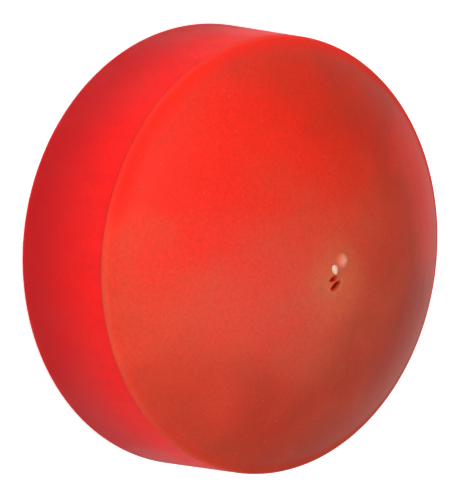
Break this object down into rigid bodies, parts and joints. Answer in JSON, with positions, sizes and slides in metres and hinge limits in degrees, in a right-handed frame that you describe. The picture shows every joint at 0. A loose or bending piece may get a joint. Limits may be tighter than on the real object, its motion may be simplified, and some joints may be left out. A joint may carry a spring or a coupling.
{
  "type": "inflatable friction ball for watch case backs",
  "caption": "Inflatable red rubber puck with a tacky domed face and a needle valve, pressed onto a screw-on watch case back and turned by hand to open it.",
  "frame": {"origin": "centre of the underside of the base, where the axis of the ball meets the surface it lies on", "axes": "+Z along the axis of the ball, out through the domed face; +X from the axis towards the needle valve"},
  "size_m": [0.0688, 0.0688, 0.0305],
  "materials": {
    "face_rubber": "satin",
    "wall_rubber": "satin",
    "valve_rubber": "matte",
    "core_rubber": "satin",
    "pip_rubber": "gloss"
  },
  "bodies": {
    "shell": {"friction_dome": "face_rubber", "side_wall": "wall_rubber", "base_cap": "wall_rubber"},
    "valve": {"valve_housing": "valve_rubber", "valve_patch": "valve_rubber", "centre_pip": "pip_rubber"},
    "core": {"valve_core": "core_rubber"}
  },
  "joints": [
    {"name": "dome_press", "type": "slide", "parent": "shell", "child": "valve", "axis": [0, 0, -1], "range_m": [0, 0.007], "stiffness_N_per_m": 4000, "deforming": ["friction_dome"]},
    {"name": "core_pull", "type": "slide", "parent": "valve", "child": "core", "axis": [0, 0, 1], "range_m": [0, 0.015]}
  ]
}
